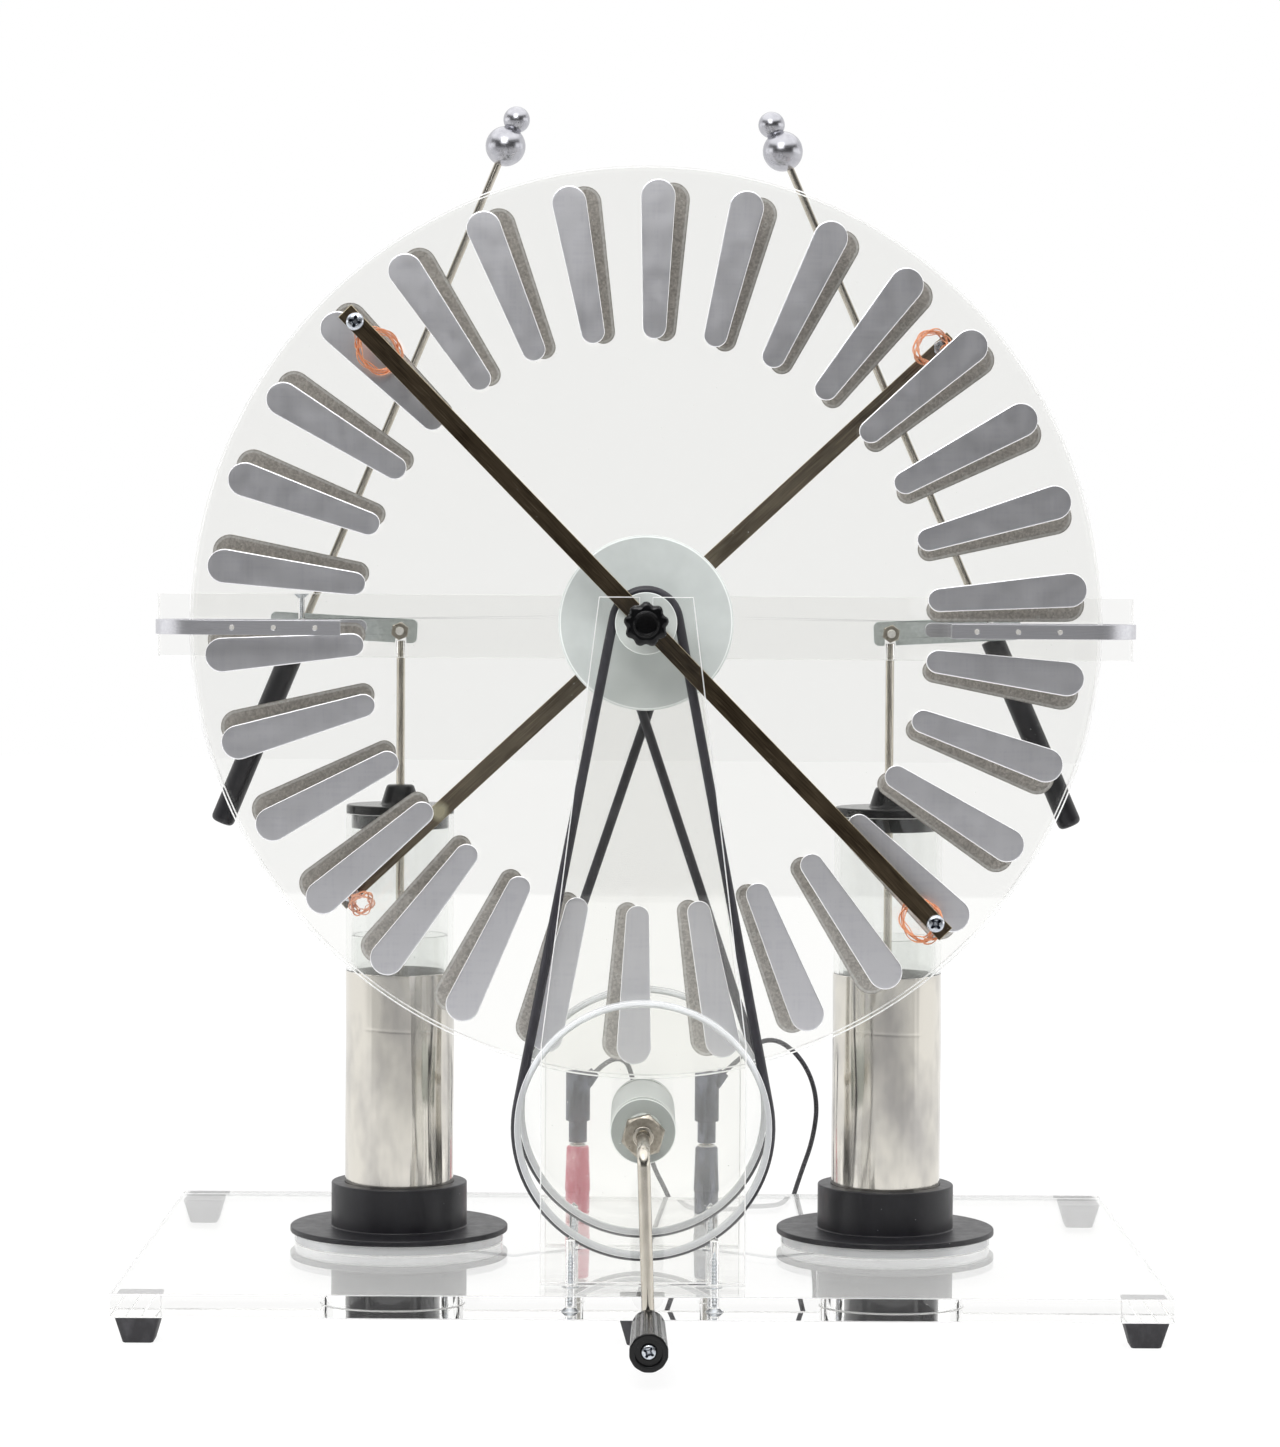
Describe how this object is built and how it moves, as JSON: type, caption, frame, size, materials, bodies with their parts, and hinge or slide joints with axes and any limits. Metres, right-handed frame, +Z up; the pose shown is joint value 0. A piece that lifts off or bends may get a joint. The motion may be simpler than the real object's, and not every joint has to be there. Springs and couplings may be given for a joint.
{
  "type": "wimshurst machine",
  "caption": "Hand cranked wimshurst machine: two counter-rotating discs with metal sectors, crossed and open belts, jars, combs, neutraliser bars and a pair of ball electrodes on a clear base.",
  "frame": {"origin": "on the table, under the middle of the whole machine, crank included and jumper lead left out", "axes": "+X to the right seen from the crank's side, +Y away from the crank, +Z up"},
  "size_m": [0.35, 0.3202, 0.4189],
  "materials": {
    "clear_acrylic": "polished clear sheet with bright cut edges",
    "jar_acrylic": "clear drawn tube, thin wall",
    "front_foil": "satin foil",
    "rear_foil": "satin foil, slightly mottled",
    "jar_foil": "creased foil",
    "hub_plastic": "turned pale grey plastic, satin",
    "clear_pulley": "turned clear plastic, polished faces",
    "nickel": "warm polished nickel plating",
    "zinc": "zinc plated strip, slightly dull",
    "dark_bar": "dark bronzed flat bar",
    "screw_zinc": "bright zinc plated cross recess screws",
    "copper_braid": "bare braided copper",
    "belt_rubber": "smooth round belt cord",
    "black_plastic": "moulded black plastic",
    "jar_pad": "polished clear ring under each jar",
    "foot_rubber": "moulded rubber",
    "red_plastic": "moulded red plastic",
    "lead_sheath": "limp black silicone sheath"
  },
  "bodies": {
    "stand": {"base_plate": "clear_acrylic", "front_upright": "clear_acrylic", "rear_upright": "clear_acrylic", "cross_bar": "clear_acrylic", "jar_tubes": "jar_acrylic", "jar_liners": "jar_acrylic", "jar_foils": "jar_foil", "jar_linings": "jar_foil", "disc_axle": "nickel", "left_comb": "nickel", "right_comb": "nickel", "comb_pins": "nickel", "jar_rods": "nickel", "bar_studs": "nickel", "nickel_nuts": "nickel", "hub_spacer": "nickel", "axle_spacers": "nickel", "crank_bushes": "nickel", "jar_bolts": "nickel", "socket_cores": "nickel", "plug_pins": "nickel", "bonding_strips": "zinc", "fixing_screws": "screw_zinc", "front_belt": "belt_rubber", "rear_belt": "belt_rubber", "jar_lids": "black_plastic", "jar_holders": "black_plastic", "black_sleeve": "black_plastic", "lead_plugs": "black_plastic", "jar_pads": "jar_pad", "rubber_feet": "foot_rubber", "red_sleeve": "red_plastic", "jumper_lead": "lead_sheath"},
    "front_disc": {"front_disc": "clear_acrylic", "front_sectors": "front_foil", "front_hub": "hub_plastic"},
    "rear_disc": {"rear_disc": "clear_acrylic", "rear_sectors": "rear_foil", "rear_hub": "hub_plastic"},
    "crank": {"crank_rod": "nickel", "drive_hub": "hub_plastic", "drive_pulleys": "clear_pulley", "pulley_collars": "hub_plastic", "grip_screw": "screw_zinc"},
    "grip": {"crank_grip": "black_plastic"},
    "front_neutraliser": {"front_neutraliser": "dark_bar", "front_brushes": "copper_braid", "front_brush_screws": "screw_zinc"},
    "rear_neutraliser": {"rear_neutraliser": "dark_bar", "rear_brushes": "copper_braid", "rear_brush_screws": "screw_zinc"},
    "left_electrode": {"left_electrode": "nickel", "left_handle": "black_plastic"},
    "right_electrode": {"right_electrode": "nickel", "right_handle": "black_plastic"},
    "left_link": {"left_link": "zinc"},
    "right_link": {"right_link": "zinc"},
    "front_knob": {"front_knob": "black_plastic"},
    "rear_knob": {"rear_knob": "black_plastic"}
  },
  "joints": [
    {"name": "front_disc_spin", "type": "hinge", "parent": "stand", "child": "front_disc", "pos_m": [0, -0.0135, 0.2373], "axis": [0, 1, 0], "continuous": true},
    {"name": "rear_disc_spin", "type": "hinge", "parent": "stand", "child": "rear_disc", "pos_m": [0, -0.0135, 0.2373], "axis": [0, 1, 0], "continuous": true},
    {"name": "crank_spin", "type": "hinge", "parent": "stand", "child": "crank", "pos_m": [0, -0.0135, 0.0675], "axis": [0, 1, 0], "continuous": true},
    {"name": "grip_spin", "type": "hinge", "parent": "crank", "child": "grip", "pos_m": [0.00193, -0.124, 0.01233], "axis": [0, 1, 0], "continuous": true},
    {"name": "front_neutraliser_swing", "type": "hinge", "parent": "stand", "child": "front_neutraliser", "pos_m": [0, -0.0417, 0.2373], "axis": [0, 1, 0], "range_deg": [-22, 16]},
    {"name": "rear_neutraliser_swing", "type": "hinge", "parent": "stand", "child": "rear_neutraliser", "pos_m": [0, 0.0147, 0.2373], "axis": [0, -1, 0], "range_deg": [-22, 20]},
    {"name": "left_electrode_swing", "type": "hinge", "parent": "stand", "child": "left_electrode", "pos_m": [-0.1213, 0.04705, 0.235], "axis": [0, 1, 0], "range_deg": [-30, 14]},
    {"name": "right_electrode_swing", "type": "hinge", "parent": "stand", "child": "right_electrode", "pos_m": [0.1213, 0.04705, 0.235], "axis": [0, -1, 0], "range_deg": [-31, 13]},
    {"name": "left_link_lift", "type": "hinge", "parent": "stand", "child": "left_link", "pos_m": [-0.1213, 0.04225, 0.235], "axis": [0, -1, 0], "range_deg": [0, 60]},
    {"name": "right_link_lift", "type": "hinge", "parent": "stand", "child": "right_link", "pos_m": [0.1213, 0.04225, 0.235], "axis": [0, 1, 0], "range_deg": [0, 60]},
    {"name": "front_knob_turn", "type": "hinge", "parent": "stand", "child": "front_knob", "pos_m": [0, -0.0595, 0.2373], "axis": [0, -1, 0], "range_deg": [0, 360]},
    {"name": "rear_knob_turn", "type": "hinge", "parent": "stand", "child": "rear_knob", "pos_m": [0, 0.0465, 0.2373], "axis": [0, 1, 0], "range_deg": [0, 360]}
  ],
  "couplings": [
    {"joint": "rear_disc_spin", "follows": "front_disc_spin", "ratio": -1},
    {"joint": "crank_spin", "follows": "front_disc_spin", "ratio": 0.25641}
  ]
}
